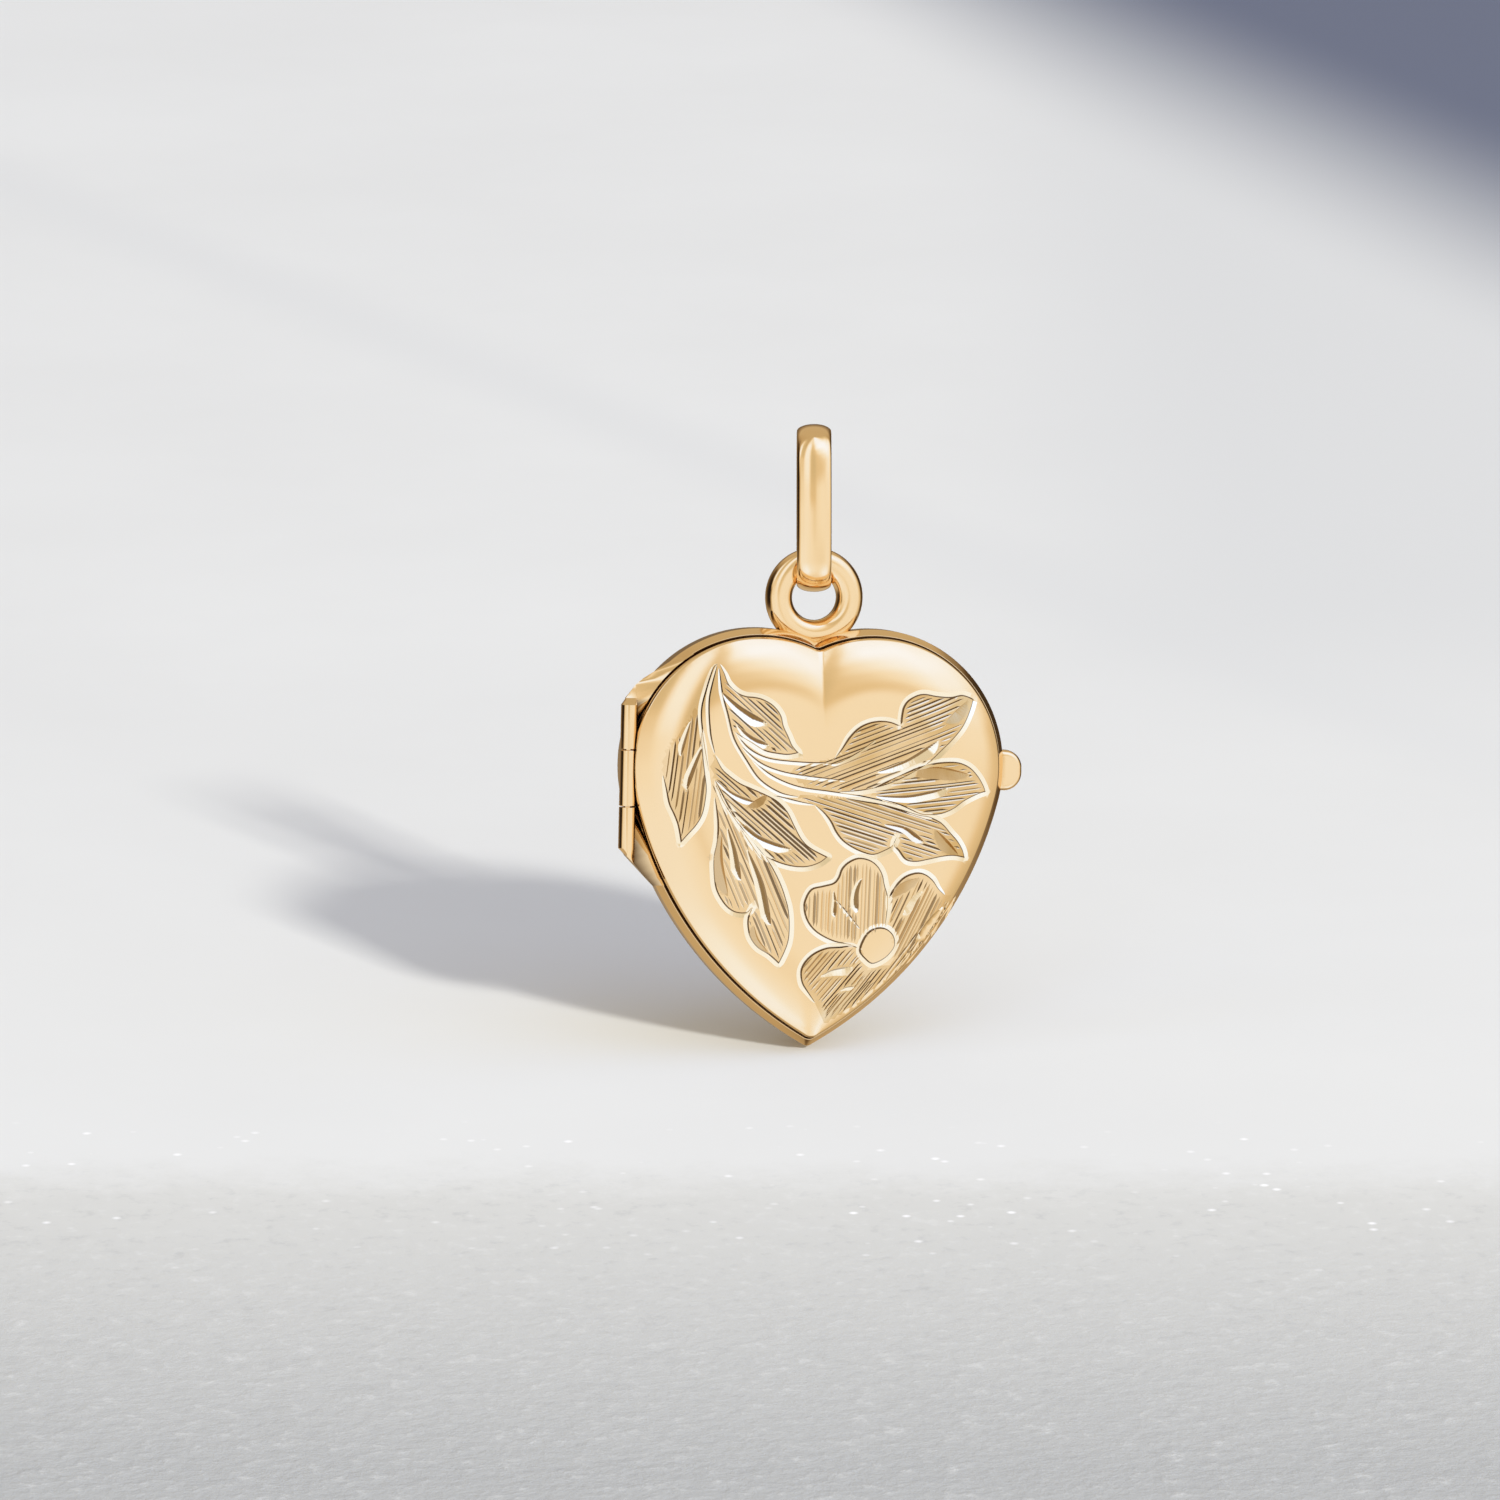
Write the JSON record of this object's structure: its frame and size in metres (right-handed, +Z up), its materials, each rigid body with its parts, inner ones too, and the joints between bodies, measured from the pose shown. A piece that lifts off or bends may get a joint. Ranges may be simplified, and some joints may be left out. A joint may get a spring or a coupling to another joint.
{
  "type": "heart locket pendant",
  "caption": "Polished gold heart locket with an engraved hinged cover, a thumb tab, a soldered eye ring and a loop bail for a chain.",
  "frame": {"origin": "inner crown of the bail, where a chain bears, with the locket hanging below it", "axes": "+X to the right seen from the front, +Y to the back, +Z up, from the locket to the chain"},
  "size_m": [0.0167, 0.0044, 0.0249],
  "materials": {
    "polished_gold": "high polish yellow gold",
    "engraved_gold": "high polish yellow gold, bright-cut hand engraving"
  },
  "bodies": {
    "hanger": {"bail": "polished_gold"},
    "case": {"back_case": "polished_gold", "hinge_pin": "polished_gold"},
    "cover": {"front_cover": "engraved_gold"}
  },
  "joints": [
    {"name": "locket_swing", "type": "hinge", "parent": "hanger", "child": "case", "pos_m": [0, 0, -0.00512], "axis": [0.9781, -0.2079, 0], "range_deg": [-80, 80]},
    {"name": "cover_hinge", "type": "hinge", "parent": "case", "child": "cover", "pos_m": [-0.00781, -0.00105, -0.01364], "axis": [-0.0227, 0, -0.9997], "range_deg": [0, 145]}
  ]
}
